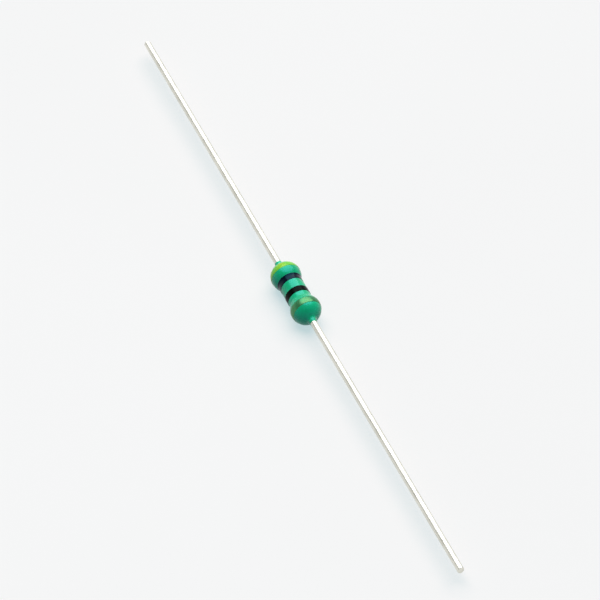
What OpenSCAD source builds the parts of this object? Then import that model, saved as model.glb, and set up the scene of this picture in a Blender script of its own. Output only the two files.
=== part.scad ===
// Axial film resistor: a dog-bone lacquer body with four colour bands and two straight wire leads.
// The body lies along X with its middle at the origin, and its first band is towards minus X.
// Profiles are half sections of turned pieces, drawn as radius by place along the body axis.

/* [Body] */
// Length of the lacquered body, from pole to pole of its two bulbs
body_l = 6.3; // [5.6:0.1:7.4]
// Diameter of the bulbs that cover the end caps
bulb_d = 2.4; // [2.1:0.1:3]
// Radius of the hollow curve between the waist and each bulb
foot_r = 0.545; // [0.3:0.005:0.8]

/* [Lacquer thickness] */
// Lacquer over the film at the waist
waist_coat_t = 0.17; // [0.1:0.01:0.25]
// Lacquer over the side of each end cap
side_coat_t = 0.27; // [0.2:0.01:0.35]
// Lacquer over the rounded corner of each end cap, where it is thinnest
corner_coat_t = 0.1; // [0.05:0.01:0.15]

/* [Lacquer on the leads] */
// Radius of the hollow curve where the lacquer climbs onto each lead
climb_r = 0.3; // [0.2:0.01:0.45]
// Thickness of the lacquer sleeve on each lead
sleeve_t = 0.045; // [0.03:0.005:0.08]
// Thickness that is left at the worn end of the sleeve
sleeve_end_t = 0.015; // [0.01:0.005:0.025]
// Reach of the sleeve along the lead, past the pole of its bulb
sleeve_l = 0.4; // [0.35:0.05:1.2]

/* [Leads] */
// Diameter of the wire
lead_d = 0.55; // [0.45:0.05:0.65]
// Length of each lead, past the pole of its bulb
lead_l = 28; // [5:1:38]
// Chamfer at the cut tip
tip_chamfer = 0.05; // [0.02:0.01:0.1]
// Radius of the hollow curve between the wire and its weld
weld_r = 0.17; // [0.16:0.01:0.22]
// Thickness of the weld disc on the cap
weld_t = 0.06; // [0.03:0.01:0.12]

/* [End caps] */
// Length of each drawn cap
cap_l = 1.25; // [0.9:0.05:1.6]
// Sheet thickness of the caps
cap_wall = 0.15; // [0.1:0.01:0.2]
// Outer corner radius of the caps
cap_corner_r = 0.25; // [0.22:0.01:0.35]
// Chamfer in the mouth of the caps, which leads the rod in
mouth_chamfer = 0.05; // [0.02:0.01:0.08]

/* [Rod and film] */
// Thickness of the resistive film on the ceramic rod
film_t = 0.03; // [0.02:0.005:0.05]
// Turns of the helical cut that trims the film
cut_turns = 5; // [1:1:8]
// Width of the helical cut
cut_w = 0.12; // [0.08:0.01:0.16]
// Uncut film between each cap and the end of the helical cut
cut_margin = 0.4; // [0.2:0.05:0.7]

/* [Colour bands] */
// Thickness of the printed paint
band_t = 0.03; // [0.015:0.005:0.05]
// Width of each band
band_w = 0.6; // [0.4:0.05:0.75]
// Middle of the first digit's band, outwards from the centre of the left bulb
first_band_out = 0.32; // [0.2:0.01:0.6]
// Middle of the second digit's band, inwards from the centre of the left bulb
second_band_in = 0.95; // [0.6:0.05:1.1]
// Middle of the multiplier's band, to the right of the body's middle
multiplier_band_x = 0.44; // [-0.3:0.01:0.5]
// Middle of the tolerance band, inwards from the centre of the right bulb, or outwards below zero
tolerance_band_in = -0.05; // [-0.2:0.01:0.6]

/* [Hidden] */

$fn = 96;
left = -1;
right = 1;
// Length by which a cutting shape passes the face that it opens
cut_over = 0.5;

// Radii, from the lacquer inwards to the wire
bulb_r = bulb_d / 2;
cap_r = bulb_r - side_coat_t;
film_r = cap_r - cap_wall;
rod_r = film_r - film_t;
waist_r = film_r + waist_coat_t;
lead_r = lead_d / 2;
sleeve_r = lead_r + sleeve_t;
weld_disc_r = lead_r + weld_r;

// Places along the axis, from the body's middle outwards
pole_x = body_l / 2;
bulb_x = pole_x - bulb_r;
// Each hollow curve touches the bulb, so their centres lie one radius plus the other apart
function reach_of(curve_r, foot_at) = sqrt(pow(bulb_r + curve_r, 2) - pow(foot_at + curve_r, 2));
waist_x = bulb_x - reach_of(foot_r, waist_r);
climb_x = bulb_x + reach_of(climb_r, sleeve_r);
sleeve_end_x = pole_x + sleeve_l;
tip_x = pole_x + lead_l;
// The cap's rounded corner lies corner_coat_t inside the bulb
corner_x = bulb_x + sqrt(pow(bulb_r - cap_corner_r - corner_coat_t, 2) - pow(cap_r - cap_corner_r, 2));
cap_end_x = corner_x + cap_corner_r;
mouth_x = cap_end_x - cap_l;
// The rod's ends and edges bear on the inside of the caps
rod_end_x = cap_end_x - cap_wall;
rod_edge_r = cap_corner_r - cap_wall;
film_end_x = rod_end_x - rod_edge_r;

// Helical cut, between the mouths of the two caps
cut_half_l = mouth_x - cut_margin;
cut_pitch = 2 * cut_half_l / cut_turns;
cut_steps_per_turn = 24;
cut_inner_r = rod_r - film_t;
cut_outer_r = film_r + film_t;

lacquer_green = "#1fa67d";
ceramic_cream = "#e9e3d3";
film_grey = "#3b3a3d";
cap_silver = "#b9bcbd";
wire_silver = "#cfd3cf";
band_yellow = "#b5d220";
band_violet = "#1d1b4e";
band_black = "#0c0e0f";
band_gold = "#a8883c";

// Turns a profile about the body axis
module turned() {
    rotate([0, 90, 0]) rotate_extrude() children();
}

// The right half of a piece and its mirror image on the left
module both_sides() {
    children();
    mirror([1, 0, 0]) children();
}

// Round-cornered bar from the axis out to r, ending at end_x
module bar_profile(r, start_x, end_x, corner_r) {
    translate([0, start_x]) square([r, end_x - corner_r - start_x]);
    translate([0, start_x]) square([r - corner_r, end_x - start_x]);
    intersection() {
        translate([r - corner_r, end_x - corner_r]) circle(corner_r);
        translate([0, start_x]) square([r, end_x - start_x]);
    }
}

// Stem that leaves the bulb in a hollow curve, is foot_at thick at foot_x and end_r thick at end_x
module stem_profile(curve_r, foot_at, foot_x, end_r, end_x) {
    difference() {
        polygon([[0, bulb_x], [foot_at + curve_r, foot_x], [foot_at, foot_x], [end_r, end_x], [0, end_x]]);
        translate([foot_at + curve_r, foot_x]) circle(curve_r);
    }
}

// Right half of the waist and the bulb, grown evenly by skin_t
module half_body_profile(skin_t) {
    stem_profile(foot_r - skin_t, waist_r + skin_t, waist_x, waist_r + skin_t, 0);
    intersection() {
        translate([0, bulb_x]) circle(bulb_r + skin_t);
        square([bulb_r + skin_t, pole_x + skin_t]);
    }
}

// Right half of the lacquer's outside, which climbs onto the lead and thins out along it
module half_coat_profile() {
    half_body_profile(0);
    stem_profile(climb_r, sleeve_r, climb_x, lead_r + sleeve_end_t, sleeve_end_x);
}

// Wire with its weld disc on the cap and its chamfered tip
module lead_profile() {
    difference() {
        translate([0, cap_end_x]) square([weld_disc_r, weld_t + weld_r]);
        translate([weld_disc_r, cap_end_x + weld_t + weld_r]) circle(weld_r);
    }
    polygon([[0, cap_end_x], [lead_r, cap_end_x], [lead_r, tip_x - tip_chamfer],
        [lead_r - tip_chamfer, tip_x], [0, tip_x]]);
}

// Right half of everything that the lacquer wraps
module half_wrapped_profile() {
    square([film_r, film_end_x]);
    bar_profile(cap_r, mouth_x, cap_end_x, cap_corner_r);
    lead_profile();
}

module ceramic_rod() {
    color(ceramic_cream) both_sides() turned() bar_profile(rod_r, 0, rod_end_x, rod_edge_r);
}

// Four corners of the cut's section, step by step along the helix
function cut_section(step) =
    let (turn = step / cut_steps_per_turn, middle_x = turn * cut_pitch - cut_half_l)
    [for (corner = [[cut_inner_r, -1], [cut_outer_r, -1], [cut_outer_r, 1], [cut_inner_r, 1]])
        [middle_x + corner[1] * cut_w / 2, corner[0] * cos(360 * turn), corner[0] * sin(360 * turn)]];

module helical_cut() {
    steps = cut_turns * cut_steps_per_turn;
    points = [for (step = [0:steps]) each cut_section(step)];
    sides = [for (step = [0:steps - 1], side = [0:3])
        let (a = 4 * step + side, b = 4 * step + (side + 1) % 4)
        each [[a, b, b + 4], [a, b + 4, a + 4]]];
    first_end = [[3, 2, 1], [3, 1, 0]];
    last_end = [for (face = first_end) [4 * steps + face[2], 4 * steps + face[1], 4 * steps + face[0]]];
    polyhedron(points, concat(sides, first_end, last_end));
}

module resistive_film() {
    color(film_grey) difference() {
        turned() translate([rod_r, -film_end_x]) square([film_t, 2 * film_end_x]);
        helical_cut();
    }
}

// Drawn cup that is pressed over the end of the coated rod
module end_cap(side) {
    color(cap_silver) rotate([0, 0, side == left ? 180 : 0]) turned() difference() {
        bar_profile(cap_r, mouth_x, cap_end_x, cap_corner_r);
        bar_profile(film_r, mouth_x - cut_over, rod_end_x, rod_edge_r);
        polygon([[0, mouth_x - cut_over], [film_r + mouth_chamfer + cut_over, mouth_x - cut_over],
            [film_r, mouth_x + mouth_chamfer], [0, mouth_x + mouth_chamfer]]);
    }
}

module left_end_cap() {
    end_cap(left);
}

module right_end_cap() {
    end_cap(right);
}

module lead(side) {
    color(wire_silver) rotate([0, 0, side == left ? 180 : 0]) turned() lead_profile();
}

module left_lead() {
    lead(left);
}

module right_lead() {
    lead(right);
}

module coating() {
    color(lacquer_green) difference() {
        both_sides() turned() half_coat_profile();
        both_sides() turned() half_wrapped_profile();
    }
}

// Ring of paint on the lacquer, with its middle at middle_x
module band(middle_x) {
    difference() {
        intersection() {
            both_sides() turned() half_body_profile(band_t);
            translate([middle_x - band_w / 2, -bulb_d, -bulb_d]) cube([band_w, 2 * bulb_d, 2 * bulb_d]);
        }
        both_sides() turned() half_body_profile(0);
    }
}

module first_digit_band() {
    color(band_yellow) band(-bulb_x - first_band_out);
}

module second_digit_band() {
    color(band_violet) band(-bulb_x + second_band_in);
}

module multiplier_band() {
    color(band_black) band(multiplier_band_x);
}

module tolerance_band() {
    color(band_gold) band(bulb_x - tolerance_band_in);
}

ceramic_rod();
resistive_film();
left_end_cap();
right_end_cap();
left_lead();
right_lead();
coating();
first_digit_band();
second_digit_band();
multiplier_band();
tolerance_band();
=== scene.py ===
"""Axial film resistor: a lacquered dog-bone body, four printed bands and two tinned leads on a pale floor."""

import math

import bmesh
import bpy
from mathutils import Matrix, Vector, noise


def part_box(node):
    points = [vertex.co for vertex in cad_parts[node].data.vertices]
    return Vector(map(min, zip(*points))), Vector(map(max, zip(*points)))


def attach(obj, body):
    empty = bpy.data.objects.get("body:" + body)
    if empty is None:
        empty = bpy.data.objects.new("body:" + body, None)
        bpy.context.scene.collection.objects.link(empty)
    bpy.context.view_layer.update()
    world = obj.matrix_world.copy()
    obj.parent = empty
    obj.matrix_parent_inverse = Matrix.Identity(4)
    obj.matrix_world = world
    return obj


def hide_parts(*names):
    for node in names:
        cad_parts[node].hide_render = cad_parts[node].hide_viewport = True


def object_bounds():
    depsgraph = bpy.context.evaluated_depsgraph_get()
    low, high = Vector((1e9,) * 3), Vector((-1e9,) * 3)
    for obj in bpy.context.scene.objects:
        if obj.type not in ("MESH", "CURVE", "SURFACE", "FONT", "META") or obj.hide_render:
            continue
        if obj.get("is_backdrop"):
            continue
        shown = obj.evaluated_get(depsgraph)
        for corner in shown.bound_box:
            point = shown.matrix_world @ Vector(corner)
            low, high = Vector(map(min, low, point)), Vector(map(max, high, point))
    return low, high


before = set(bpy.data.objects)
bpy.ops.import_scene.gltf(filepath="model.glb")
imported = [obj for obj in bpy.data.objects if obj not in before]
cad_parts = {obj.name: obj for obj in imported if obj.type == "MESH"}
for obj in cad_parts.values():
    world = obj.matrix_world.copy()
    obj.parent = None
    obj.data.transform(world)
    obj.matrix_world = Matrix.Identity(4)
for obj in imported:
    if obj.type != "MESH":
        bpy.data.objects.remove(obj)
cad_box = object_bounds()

MM = 0.001
WHITE = (1.0, 1.0, 1.0)
FLOAT = "NodeSocketFloat"
COLOUR = "NodeSocketColor"

# Outline of the body in millimetres: places along its axis, and radii
BULB_R = 1.2
BULB_X = 1.95
WAIST_R = 0.95
FOOT_R = 0.545
CLIMB_R = 0.3
WIRE_R = 0.275
SLEEVE_T = 0.045
SLEEVE_END_T = 0.015

# What the lacquer wraps, in millimetres
CAP_R = 0.93
CAP_CORNER_R = 0.25
FILM_R = 0.78
MOUTH_X = 1.46
WELD_R = 0.17
WELD_T = 0.06

# Dipped lacquer in millimetres: how far it swells, over what length, and over what height above the sleeve
LACQUER_SWELL = 0.009
SWELL_WAVELENGTH = 0.9
SWELL_FADE = 0.3

# Least share of its full reach that the ragged end of a sleeve keeps
SLEEVE_SHORTEST = 0.76

# Printed paint in millimetres: its thickness, its rounded edge and its bed in the lacquer
PAINT_T = 0.022
PAINT_EDGE = 0.035
PAINT_BED = 0.004

# How far the paint's skin and its edges wander, and over what length, in millimetres
PAINT_UNEVEN = 0.0025
PAINT_UNEVEN_WAVELENGTH = 0.22
PAINT_WANDER = 0.012
PAINT_WANDER_WAVELENGTH = 0.35

# Where the ends of a band lap: half the angle, how steeply the lap rises and how far it straightens edges
LAP_HALF = 0.16
LAP_STEEPNESS = 3
LAP_STRAIGHTENING = 0.8

# Wire in millimetres: its unevenness, and how much of its straight run the sleeve hides
WIRE_UNEVEN = 0.0015
WIRE_UNEVEN_WAVELENGTH = 0.8
HIDDEN_IN_SLEEVE = 0.6

# Sheared tip of the wire in millimetres, and where its chamfer bends, as shares of it back and inwards
TIP_RUN = 0.07
TIP_NECK = 0.002
TIP_CHAMFER = 0.05
TIP_BEND_BACK = 0.4
TIP_BEND_IN = 0.35
TIP_SLANT = 0.03
TIP_HOLLOW = 0.03
TIP_HOLLOW_R = 0.1

# Points of the meshes: round a piece, and along its section
AROUND_BODY = 160
AROUND_WIRE = 64
ALONG_BODY = 265
ALONG_WIRE = 120
ACROSS_BAND = 27
SHARP_ANGLE = math.radians(38)

# Height of the ripples in the lacquer and the paint, in metres
RIPPLE_DEPTH = 2e-6

# Specks of dust: how dark they are, how much colour they cover, and what they add to roughness and height
DUST_SHADE = 0.45
DUST_COVER = 0.6
DUST_ROUGHNESS = 0.25
DUST_HEIGHT = 0.8

# How much of the paint's colour a metal flake covers
FLAKE_COVER = 0.5


def reach(curve_r, lowest_r):
    """Distance along the axis from the bulb's centre to that of a hollow curve that touches the bulb."""
    return math.sqrt((BULB_R + curve_r) ** 2 - (lowest_r + curve_r) ** 2)


SLEEVE_R = WIRE_R + SLEEVE_T
WAIST_X = BULB_X - reach(FOOT_R, WAIST_R)
CLIMB_X = BULB_X + reach(CLIMB_R, SLEEVE_R)
FOOT_END_X = BULB_X - reach(FOOT_R, WAIST_R) * BULB_R / (BULB_R + FOOT_R)
CLIMB_START_X = BULB_X + reach(CLIMB_R, SLEEVE_R) * BULB_R / (BULB_R + CLIMB_R)
SLEEVE_END_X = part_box("coating")[1].x / MM
CAP_END_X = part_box("right_end_cap")[1].x / MM
TIP_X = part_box("right_lead")[1].x / MM
WELD_RIM_R = WIRE_R + WELD_R
WELD_X = CAP_END_X + WELD_T + WELD_R


def body_radius(x):
    """Radius of the lacquer's outside at a place along the axis."""
    x = abs(x)
    if x <= WAIST_X:
        return WAIST_R
    if x <= FOOT_END_X:
        return WAIST_R + FOOT_R - math.sqrt(FOOT_R**2 - (x - WAIST_X) ** 2)
    if x <= CLIMB_START_X:
        return math.sqrt(BULB_R**2 - (x - BULB_X) ** 2)
    if x <= CLIMB_X:
        return SLEEVE_R + CLIMB_R - math.sqrt(CLIMB_R**2 - (CLIMB_X - x) ** 2)
    worn = (x - CLIMB_X) / (SLEEVE_END_X - CLIMB_X)
    return SLEEVE_R + worn * (SLEEVE_END_T - SLEEVE_T)


def outward(x):
    """Unit vector straight out of the body's outline, along and from the axis."""
    step = 0.002
    slope = (body_radius(x + step) - body_radius(x - step)) / (2 * step)
    length = math.hypot(slope, 1)
    return -slope / length, 1 / length


def unevenness(x, radius, angle, wavelength, seed):
    """Smooth noise from -1 to 1 on the surface of a turned piece."""
    place = Vector((x, radius * math.cos(angle), radius * math.sin(angle)))
    return noise.noise(place / wavelength + Vector((seed, 2.3 * seed, 5.1 * seed)))


def lacquer_radius(x, angle):
    """Radius of the dipped lacquer, which swells a little here and there, but not on the sleeves."""
    radius = body_radius(x)
    swell = LACQUER_SWELL * unevenness(x, radius, angle, wavelength=SWELL_WAVELENGTH, seed=3.0)
    return radius + swell * min(1, max(0, (radius - SLEEVE_R) / SWELL_FADE))


def spread(start, end, count):
    """Evenly spaced values, both ends included."""
    return [start + (end - start) * i / (count - 1) for i in range(count)]


def arc(centre_x, centre_r, radius, start, end, count):
    """Points of an arc in the half section, from start to end in degrees, where 0 is along the axis."""
    return [
        (centre_x + radius * math.cos(math.radians(a)), centre_r + radius * math.sin(math.radians(a)))
        for a in spread(start, end, count)
    ]


def turned_piece(name, section, around, closed):
    """Mesh turned about the X axis from section(angle), a list of (x, radius) in millimetres.

    A closed section joins its last point to its first. An open one starts and ends on the axis.
    """
    mesh = bmesh.new()
    rings = []
    for angle in [math.tau * i / around for i in range(around)]:
        ring = []
        for x, radius in section(angle):
            if not closed and radius == 0 and rings:
                ring.append(rings[0][len(ring)])
                continue
            place = (x, radius * math.cos(angle), radius * math.sin(angle))
            ring.append(mesh.verts.new([length * MM for length in place]))
        rings.append(ring)
    points = len(rings[0])
    for i in range(around):
        here, after = rings[i], rings[(i + 1) % around]
        for j in range(points if closed else points - 1):
            k = (j + 1) % points
            corners = []
            for corner in (here[j], here[k], after[k], after[j]):
                if corner not in corners:
                    corners.append(corner)
            mesh.faces.new(corners)
    bmesh.ops.recalc_face_normals(mesh, faces=mesh.faces)
    data = bpy.data.meshes.new(name)
    mesh.to_mesh(data)
    mesh.free()
    data.shade_smooth()
    data.set_sharp_from_angle(angle=SHARP_ANGLE)
    piece = bpy.data.objects.new(name, data)
    bpy.context.scene.collection.objects.link(piece)
    return piece


def sleeve_reach(side, angle):
    """Share of its full reach that the lacquer sleeve has at an angle, where it ends in a ragged meniscus."""
    broad = 0.5 + 0.5 * math.sin(angle + 1.1 * side) * math.cos(2 * angle - 0.7 * side)
    fine = 0.5 + 0.5 * math.sin(5 * angle + side)
    return SLEEVE_SHORTEST + (1 - SLEEVE_SHORTEST) * (0.7 * broad + 0.3 * fine)


def on_sleeve(x, angle):
    """Where a place along the longest sleeve lies at an angle, which has a shorter one."""
    side = math.copysign(1, x)
    return side * (CLIMB_X + (abs(x) - CLIMB_X) * sleeve_reach(side, angle))


def coating_section(angle):
    """Closed section of the lacquer: its outside from left to right, then its inside back to the left."""
    outside = []
    for x in spread(-SLEEVE_END_X, SLEEVE_END_X, ALONG_BODY):
        place = on_sleeve(x, angle) if abs(x) > CLIMB_X else x
        outside.append((place, lacquer_radius(x, angle)))
    inside = [(0.5 * (CLIMB_X + CLIMB_START_X), WIRE_R), (WELD_X, WIRE_R)]
    inside += arc(WELD_X, WELD_RIM_R, WELD_R, start=262, end=180, count=8)
    inside += [(CAP_END_X, WELD_RIM_R)]
    corner_x, corner_r = CAP_END_X - CAP_CORNER_R, CAP_R - CAP_CORNER_R
    inside += arc(corner_x, corner_r, CAP_CORNER_R, start=0, end=90, count=8)
    inside += [(MOUTH_X, CAP_R), (MOUTH_X, FILM_R)]
    inside += [(-x, radius) for x, radius in reversed(inside)]
    right_rim, left_rim = [(on_sleeve(x, angle), WIRE_R) for x in (SLEEVE_END_X, -SLEEVE_END_X)]
    return outside + [right_rim] + inside + [left_rim]


def band_section(x_from, x_to, seam):
    """Section of a printed band, whose ends overlap by a little at the seam angle."""

    def held_back(x, angle, lap):
        """How far the edge near x stays inside the band's full width."""
        drift = 0.5 + 0.5 * unevenness(x, 1, angle, wavelength=PAINT_WANDER_WAVELENGTH, seed=7.0 + x)
        return PAINT_WANDER * drift * (1 - LAP_STRAIGHTENING * lap)

    def section(angle):
        past_seam = (angle - seam) % math.tau
        lap = min(1, max(0, LAP_STEEPNESS * (1 - abs(past_seam - LAP_HALF) / LAP_HALF)))
        left = x_from + held_back(x_from, angle, lap)
        right = x_to - held_back(x_to, angle, lap)
        top, bed = [], []
        for share in spread(0, 1, ACROSS_BAND):
            x = left + (right - left) * (0.5 - 0.5 * math.cos(math.pi * share))
            inwards = max(0, min(x - left, right - x))
            rise = math.sqrt(1 - max(0, 1 - inwards / PAINT_EDGE) ** 2)
            patchy = unevenness(x, 1, angle, wavelength=PAINT_UNEVEN_WAVELENGTH, seed=11.0 + x_from)
            height = PAINT_BED + rise * (PAINT_T + PAINT_UNEVEN * (patchy + lap - 2))
            radius = lacquer_radius(x, angle) - PAINT_BED
            along, out = outward(x)
            top.append((x + along * height, radius + out * height))
            bed.append((x, radius - PAINT_BED))
        return top + bed[::-1]

    return section


def lead_section(side):
    """Open section of a lead, from its weld on the cap to its sheared tip."""
    root = [(CAP_END_X, 0), (CAP_END_X, WELD_RIM_R), (CAP_END_X + WELD_T, WELD_RIM_R)]
    root += arc(WELD_X, WELD_RIM_R, WELD_R, start=188, end=270, count=9)
    chamfer_x = TIP_X - TIP_CHAMFER
    straight = spread(SLEEVE_END_X - HIDDEN_IN_SLEEVE, chamfer_x - TIP_RUN, ALONG_WIRE)

    def section(angle):
        points = list(root)
        for x in straight:
            drift = unevenness(x, WIRE_R, angle, wavelength=WIRE_UNEVEN_WAVELENGTH, seed=4.0 + side)
            points.append((x, WIRE_R - WIRE_UNEVEN * (1 + drift)))
        slant = TIP_SLANT * (1 + math.cos(angle - 0.9 * side))
        points.append((chamfer_x - slant, WIRE_R - TIP_NECK))
        points.append((TIP_X - TIP_BEND_BACK * TIP_CHAMFER - slant, WIRE_R - TIP_BEND_IN * TIP_CHAMFER))
        points.append((TIP_X - slant, WIRE_R - TIP_CHAMFER))
        points.append((TIP_X - TIP_HOLLOW - 0.5 * slant, TIP_HOLLOW_R))
        points.append((TIP_X - TIP_HOLLOW, 0))
        return [(side * x, radius) for x, radius in points]

    return section


def shader_group(name, inputs, outputs):
    """Empty shader node group with named sockets, and its input and output nodes."""
    group = bpy.data.node_groups.new(name, "ShaderNodeTree")
    for label, kind, value in inputs:
        socket = group.interface.new_socket(name=label, in_out="INPUT", socket_type=kind)
        socket.default_value = value
    for label, kind in outputs:
        group.interface.new_socket(name=label, in_out="OUTPUT", socket_type=kind)
    return group, group.nodes.new("NodeGroupInput"), group.nodes.new("NodeGroupOutput")


def feed(tree, socket, source):
    """Gives an input socket its number or colour, or a link from another socket."""
    if isinstance(source, (int, float)):
        socket.default_value = source
    elif isinstance(source, tuple):
        socket.default_value = (*source, 1)
    else:
        tree.links.new(source, socket)


def places_in_mm(group, stretch=(1, 1, 1)):
    """Object coordinates of the shaded point in millimetres, each axis multiplied by stretch."""
    coordinates = group.nodes.new("ShaderNodeTexCoord")
    scale = group.nodes.new("ShaderNodeVectorMath")
    scale.operation = "MULTIPLY"
    scale.inputs[1].default_value = [share / MM for share in stretch]
    group.links.new(coordinates.outputs["Object"], scale.inputs[0])
    return scale.outputs[0]


def noise_value(group, vector, scale, detail, roughness=0.5):
    """Noise on the given coordinates; scale is a socket."""
    texture = group.nodes.new("ShaderNodeTexNoise")
    texture.inputs["Detail"].default_value = detail
    texture.inputs["Roughness"].default_value = roughness
    group.links.new(vector, texture.inputs["Vector"])
    group.links.new(scale, texture.inputs["Scale"])
    return texture.outputs["Fac"]


def spread_values(tree, value, low, high, to_low=0.0, to_high=1.0):
    """Map Range node from low..high to the two given sockets or numbers."""
    node = tree.nodes.new("ShaderNodeMapRange")
    tree.links.new(value, node.inputs["Value"])
    node.inputs["From Min"].default_value = low
    node.inputs["From Max"].default_value = high
    feed(tree, node.inputs["To Min"], to_low)
    feed(tree, node.inputs["To Max"], to_high)
    return node.outputs["Result"]


def mix_colours(tree, factor, first, second):
    """Mix Color node; first and second are sockets or colours."""
    node = tree.nodes.new("ShaderNodeMix")
    node.data_type = "RGBA"
    tree.links.new(factor, node.inputs["Factor"])
    colour_inputs = [socket for socket in node.inputs if socket.type == "RGBA"]
    feed(tree, colour_inputs[0], first)
    feed(tree, colour_inputs[1], second)
    return [socket for socket in node.outputs if socket.type == "RGBA"][0]


def calculated(tree, operation, *terms):
    """Math node; the terms are sockets or numbers."""
    node = tree.nodes.new("ShaderNodeMath")
    node.operation = operation
    for socket, term in zip(node.inputs, terms):
        feed(tree, socket, term)
    return node.outputs[0]


def make_colour_drift():
    """Colour that drifts between two tones in soft patches."""
    group, given, result = shader_group(
        "Colour drift",
        [
            ("First tone", COLOUR, (1, 1, 1, 1)),
            ("Second tone", COLOUR, (0, 0, 0, 1)),
            ("Patches per mm", FLOAT, 1.0),
        ],
        [("Colour", COLOUR)],
    )
    cloud = noise_value(group, places_in_mm(group), given.outputs["Patches per mm"], detail=3)
    share = spread_values(group, cloud, low=0.36, high=0.64)
    colour = mix_colours(group, share, given.outputs["First tone"], given.outputs["Second tone"])
    group.links.new(colour, result.inputs["Colour"])
    return group


def make_value_drift(name, low, high, detail):
    """Value that drifts between two levels, for roughness or for the height of a bump.

    low and high are the values of the noise between which it drifts.
    """
    group, given, result = shader_group(
        name,
        [("Low", FLOAT, 0.0), ("High", FLOAT, 1.0), ("Patches per mm", FLOAT, 1.0)],
        [("Value", FLOAT)],
    )
    cloud = noise_value(group, places_in_mm(group), given.outputs["Patches per mm"], detail)
    to_low, to_high = given.outputs["Low"], given.outputs["High"]
    value = spread_values(group, cloud, low, high, to_low, to_high)
    group.links.new(value, result.inputs["Value"])
    return group


def make_drawn_lines():
    """Fine lines along the axis that drawing leaves on wire and on sheet."""
    group, given, result = shader_group(
        "Drawn lines",
        [("Lines per mm", FLOAT, 30.0), ("Low", FLOAT, 0.0), ("High", FLOAT, 1.0)],
        [("Value", FLOAT)],
    )
    drawn_out = places_in_mm(group, stretch=(0.02, 1, 1))
    lines = noise_value(group, drawn_out, given.outputs["Lines per mm"], detail=4, roughness=0.6)
    to_low, to_high = given.outputs["Low"], given.outputs["High"]
    value = spread_values(group, lines, 0.3, 0.7, to_low, to_high)
    group.links.new(value, result.inputs["Value"])
    return group


def make_specks():
    """Mask of small round specks, such as dust in lacquer or flakes in metallic paint."""
    group, given, result = shader_group(
        "Specks",
        [("Cells per mm", FLOAT, 5.0), ("Size", FLOAT, 0.2), ("Share", FLOAT, 0.5)],
        [("Mask", FLOAT)],
    )
    cells = group.nodes.new("ShaderNodeTexVoronoi")
    group.links.new(places_in_mm(group), cells.inputs["Vector"])
    group.links.new(given.outputs["Cells per mm"], cells.inputs["Scale"])
    inside = calculated(group, "SUBTRACT", given.outputs["Size"], cells.outputs["Distance"])
    soft = spread_values(group, inside, low=0.0, high=0.08)
    chance = group.nodes.new("ShaderNodeSeparateColor")
    group.links.new(cells.outputs["Color"], chance.inputs[0])
    chosen = calculated(group, "LESS_THAN", chance.outputs[0], given.outputs["Share"])
    group.links.new(calculated(group, "MULTIPLY", soft, chosen), result.inputs["Mask"])
    return group


COLOUR_DRIFT = make_colour_drift()
GLOSS_DRIFT = make_value_drift("Gloss drift", low=0.35, high=0.65, detail=2)
LACQUER_RIPPLE = make_value_drift("Lacquer ripple", low=0.2, high=0.8, detail=1)
DRAWN_LINES = make_drawn_lines()
SPECKS = make_specks()


def placed(tree, group, **values):
    """Output of an effect's group node in a material, with its own values by socket name."""
    node = tree.nodes.new("ShaderNodeGroup")
    node.node_tree = group
    for label, value in values.items():
        node.inputs[label.replace("_", " ")].default_value = value
    return node.outputs[0]


def drifting_colour(tree, tones, patches):
    """Colour drift between two tones, with so many patches per millimetre."""
    first, second = tones
    return placed(
        tree, COLOUR_DRIFT, First_tone=(*first, 1), Second_tone=(*second, 1), Patches_per_mm=patches
    )


def new_material(name, metallic=0.0, specular=0.5):
    """Material with its Principled shader's uniform values set on the shader itself."""
    made = bpy.data.materials.new(name)
    made.use_nodes = True
    shader = made.node_tree.nodes["Principled BSDF"]
    shader.inputs["Metallic"].default_value = metallic
    shader.inputs["Specular IOR Level"].default_value = specular
    return made, made.node_tree, shader


def bumped(tree, shader, height, depth):
    """Bump node that feeds the shader's normal; depth is in metres."""
    bump = tree.nodes.new("ShaderNodeBump")
    bump.inputs["Strength"].default_value = 1.0
    bump.inputs["Distance"].default_value = depth
    tree.links.new(height, bump.inputs["Height"])
    tree.links.new(bump.outputs["Normal"], shader.inputs["Normal"])


def coloured_surface(name, tones, patches, gloss, specular=0.3, sheen=WHITE, metallic=0.0):
    """Lacquer, paint, film or ceramic: drifting colour, uneven gloss, a rippled skin and specks of dust."""
    made, tree, shader = new_material(name, metallic, specular)
    shader.inputs["Specular Tint"].default_value = (*sheen, 1)
    drift = drifting_colour(tree, tones, patches)
    smooth, rough = gloss
    roughness = placed(tree, GLOSS_DRIFT, Low=smooth, High=rough, Patches_per_mm=2.5)
    ripple = placed(tree, LACQUER_RIPPLE, Patches_per_mm=2.2)
    peel = placed(tree, LACQUER_RIPPLE, Low=0.0, High=0.12, Patches_per_mm=11.0)
    dust = placed(tree, SPECKS, Cells_per_mm=4.0, Size=0.12, Share=0.35)
    dusty_tone = tuple(DUST_SHADE * share for share in tones[0])
    colour = mix_colours(tree, calculated(tree, "MULTIPLY", dust, DUST_COVER), drift, dusty_tone)
    tree.links.new(colour, shader.inputs["Base Color"])
    dusty_roughness = calculated(tree, "MULTIPLY_ADD", dust, DUST_ROUGHNESS, roughness)
    tree.links.new(dusty_roughness, shader.inputs["Roughness"])
    skin = calculated(tree, "MULTIPLY_ADD", dust, DUST_HEIGHT, calculated(tree, "ADD", ripple, peel))
    bumped(tree, shader, skin, RIPPLE_DEPTH)
    return made


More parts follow.
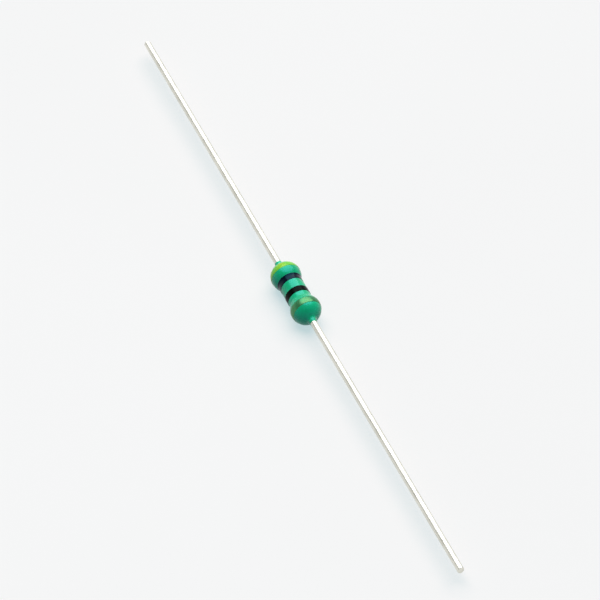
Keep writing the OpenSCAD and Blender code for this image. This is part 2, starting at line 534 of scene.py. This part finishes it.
def add_flakes(material, bright, smooth):
    """Fine metal flakes in a paint: they catch the light one by one."""
    tree = material.node_tree
    shader = tree.nodes["Principled BSDF"]
    flakes = placed(tree, SPECKS, Cells_per_mm=32.0, Size=0.6, Share=0.45)
    colour = shader.inputs["Base Color"]
    paint = colour.links[0].from_socket
    cover = calculated(tree, "MULTIPLY", flakes, FLAKE_COVER)
    tree.links.new(mix_colours(tree, cover, paint, bright), colour)
    roughness = shader.inputs["Roughness"]
    between = roughness.links[0].from_socket
    tree.links.new(spread_values(tree, flakes, 0.0, 1.0, between, smooth), roughness)


def drawn_metal(name, tones, lines, gloss, line_depth):
    """Drawn and tinned metal: fine lines along the axis in its gloss and its surface."""
    made, tree, shader = new_material(name, metallic=1.0)
    smooth, rough = gloss
    roughness = placed(tree, DRAWN_LINES, Lines_per_mm=lines, Low=smooth, High=rough)
    height = placed(tree, DRAWN_LINES, Lines_per_mm=lines)
    tree.links.new(drifting_colour(tree, tones, patches=0.8), shader.inputs["Base Color"])
    tree.links.new(roughness, shader.inputs["Roughness"])
    bumped(tree, shader, height, line_depth)
    return made


LACQUER = coloured_surface(
    "lacquer",
    tones=((0.002, 0.46, 0.18), (0.004, 0.55, 0.24)),
    patches=0.7,
    gloss=(0.18, 0.29),
    specular=0.8,
    sheen=(0.15, 0.68, 1.0),
)
YELLOW = coloured_surface(
    "yellow_paint",
    tones=((0.12, 0.60, 0.05), (0.32, 0.64, 0.02)),
    patches=0.9,
    gloss=(0.18, 0.28),
    specular=0.4,
    sheen=(0.5, 1.0, 0.6),
)
VIOLET = coloured_surface(
    "violet_paint",
    tones=((0.0008, 0.002, 0.008), (0.001, 0.003, 0.014)),
    patches=1.2,
    gloss=(0.16, 0.26),
    specular=0.2,
    sheen=(0.1, 0.7, 1.0),
)
BLACK = coloured_surface(
    "black_paint",
    tones=((0.0005, 0.0010, 0.0007), (0.0010, 0.0016, 0.0012)),
    patches=1.2,
    gloss=(0.2, 0.3),
    specular=0.05,
    sheen=(0.4, 1.0, 0.8),
)
GOLD = coloured_surface(
    "gold_paint",
    tones=((0.028, 0.26, 0.11), (0.065, 0.22, 0.085)),
    patches=1.6,
    gloss=(0.30, 0.40),
    specular=0.4,
    metallic=0.75,
)
add_flakes(GOLD, bright=(0.15, 0.28, 0.105), smooth=0.25)
CERAMIC = coloured_surface(
    "ceramic",
    tones=((0.82, 0.78, 0.70), (0.76, 0.72, 0.63)),
    patches=2.0,
    gloss=(0.7, 0.85),
)
FILM = coloured_surface(
    "film",
    tones=((0.045, 0.045, 0.05), (0.06, 0.06, 0.065)),
    patches=2.0,
    gloss=(0.35, 0.5),
)
WIRE = drawn_metal(
    "lead_wire",
    tones=((0.80, 0.79, 0.71), (0.69, 0.68, 0.60)),
    lines=26,
    gloss=(0.26, 0.44),
    line_depth=1.6e-6,
)
CAP_METAL = drawn_metal(
    "cap_metal",
    tones=((0.58, 0.58, 0.57), (0.50, 0.50, 0.49)),
    lines=12,
    gloss=(0.28, 0.42),
    line_depth=2e-6,
)


def finish_piece(piece, material, node):
    """Gives a piece its material and its body, and hides the CAD node that it stands for."""
    piece.data.materials.append(material)
    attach(piece, "root")
    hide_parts(node)


coat = turned_piece("lacquer_coat", coating_section, AROUND_BODY, closed=True)
finish_piece(coat, LACQUER, "coating")

# Each printed band with its paint, its slot and the angle of its seam, which lies on the underside
PRINTED = [
    ("first_digit_band", YELLOW, "yellow_paint", 3.9),
    ("second_digit_band", VIOLET, "violet_paint", 4.4),
    ("multiplier_band", BLACK, "black_paint", 4.1),
    ("tolerance_band", GOLD, "gold_paint", 4.7),
]
for node, paint, slot, seam in PRINTED:
    low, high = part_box(node)
    band = band_section(low.x / MM, high.x / MM, seam)
    finish_piece(turned_piece("printed_" + node, band, AROUND_BODY, closed=True), paint, node)

for side, node in ((-1, "left_lead"), (1, "right_lead")):
    lead = turned_piece("tinned_" + node, lead_section(side), AROUND_WIRE, closed=False)
    finish_piece(lead, WIRE, node)

INSIDE_THE_LACQUER = {
    "ceramic_rod": CERAMIC,
    "resistive_film": FILM,
    "left_end_cap": CAP_METAL,
    "right_end_cap": CAP_METAL,
}
for node, material in INSIDE_THE_LACQUER.items():
    for material_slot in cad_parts[node].material_slots:
        material_slot.material = material


# Colours of the floor and the surroundings
PALE = (0.92, 0.92, 0.92)
FLOOR_TONES = ((0.395, 0.275, 0.245), (0.405, 0.285, 0.255))
# Bluish glow: with the warm tones it makes an even pale, and it paints a bluish tint into the shadow
FLOOR_GLOW_AND_SHADOW_TINT = (0.490, 0.620, 0.652)
FLOOR_UNSEEN = (0.22, 0.22, 0.22)
UNLIT = (0.0, 0.0, 0.0)
LOW_LIGHT = (0.19, 0.20, 0.21)
HIGH_LIGHT = (0.14, 0.15, 0.16)
HIGH_MIRRORED = (0.45, 0.46, 0.47)


def ray_share(tree, first, *others):
    """1 for the kinds of ray that are named, and 0 for all others."""
    path = tree.nodes.new("ShaderNodeLightPath")
    share = path.outputs[first]
    for kind in others:
        share = calculated(tree, "ADD", share, path.outputs[kind])
    return share


def make_floor():
    """Plain pale floor that the body rests on, clear from below."""
    half = 0.8
    level = cad_box[0].z
    mesh = bmesh.new()
    corners = ((-half, -half), (half, -half), (half, half), (-half, half))
    mesh.faces.new([mesh.verts.new((x, y, level)) for x, y in corners])
    data = bpy.data.meshes.new("floor")
    mesh.to_mesh(data)
    mesh.free()
    floor = bpy.data.objects.new("floor", data)
    bpy.context.scene.collection.objects.link(floor)
    made, tree, shader = new_material("pale_floor", specular=0.0)
    seen = ray_share(tree, "Is Camera Ray", "Is Glossy Ray", "Is Transmission Ray")
    lit = drifting_colour(tree, FLOOR_TONES, patches=0.02)
    tree.links.new(mix_colours(tree, seen, FLOOR_UNSEEN, lit), shader.inputs["Base Color"])
    shader.inputs["Roughness"].default_value = 0.9
    # Painted bluish shadow tint: where the lamp is shadowed, the bluish glow is all that is left
    glow = mix_colours(tree, seen, UNLIT, FLOOR_GLOW_AND_SHADOW_TINT)
    tree.links.new(glow, shader.inputs["Emission Color"])
    shader.inputs["Emission Strength"].default_value = 1.0
    below = tree.nodes.new("ShaderNodeNewGeometry")
    clear = tree.nodes.new("ShaderNodeBsdfTransparent")
    one_sided = tree.nodes.new("ShaderNodeMixShader")
    tree.links.new(below.outputs["Backfacing"], one_sided.inputs[0])
    tree.links.new(shader.outputs["BSDF"], one_sided.inputs[1])
    tree.links.new(clear.outputs["BSDF"], one_sided.inputs[2])
    tree.links.new(one_sided.outputs["Shader"], tree.nodes["Material Output"].inputs["Surface"])
    data.materials.append(made)
    floor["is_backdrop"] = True


def make_softbox(direction, distance, size, level):
    """Round area lamp. level is what a white surface that faces it at the middle shows."""
    lamp = bpy.data.lights.new("key_softbox", "AREA")
    lamp.shape = "DISK"
    lamp.size = size
    lamp.energy = level * (math.pi * distance) ** 2
    holder = bpy.data.objects.new("key_softbox", lamp)
    bpy.context.scene.collection.objects.link(holder)
    towards = Vector(direction).normalized()
    holder.location = towards * distance
    holder.rotation_euler = towards.to_track_quat("Z", "Y").to_euler()


def make_world():
    """Pale surroundings, whose light and mirror image are brightest at the horizon."""
    world = bpy.data.worlds.new("pale_room")
    bpy.context.scene.world = world
    world.use_nodes = True
    tree = world.node_tree
    background = tree.nodes["Background"]
    coordinates = tree.nodes.new("ShaderNodeTexCoord")
    split = tree.nodes.new("ShaderNodeSeparateXYZ")
    tree.links.new(coordinates.outputs["Generated"], split.inputs[0])
    height = spread_values(tree, split.outputs["Z"], low=0.1, high=0.45)
    lighting = mix_colours(tree, height, LOW_LIGHT, HIGH_LIGHT)
    mirrored = mix_colours(tree, height, PALE, HIGH_MIRRORED)
    room = mix_colours(tree, ray_share(tree, "Is Glossy Ray"), lighting, mirrored)
    seen = ray_share(tree, "Is Camera Ray", "Is Transmission Ray")
    tree.links.new(mix_colours(tree, seen, room, PALE), background.inputs["Color"])
    background.inputs["Strength"].default_value = 1.0


def make_camera(target, back, distance, roll, lens):
    """Camera at the photograph's viewing angle, which looks at target from the direction back."""
    camera = bpy.data.objects.new("camera", bpy.data.cameras.new("camera"))
    bpy.context.scene.collection.objects.link(camera)
    camera.data.lens = lens
    camera.data.clip_start = 0.01
    camera.rotation_mode = "QUATERNION"
    back = Vector(back).normalized()
    turn = (-back).to_track_quat("-Z", "Y")
    camera.rotation_quaternion = turn @ Matrix.Rotation(roll, 3, "Z").to_quaternion()
    camera.location = Vector(target) + back * distance
    bpy.context.scene.camera = camera


make_floor()
make_world()
make_softbox(direction=(-0.40, 0.2, 0.85), distance=4.0, size=6.0, level=1.62)
make_camera(
    target=(0.0008, 0, 0),
    back=(0.652, -0.281, 0.705),
    distance=0.3849,
    roll=math.radians(0.7),
    lens=300,
)
bpy.context.scene.view_settings.view_transform = "Standard"

low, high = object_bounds()
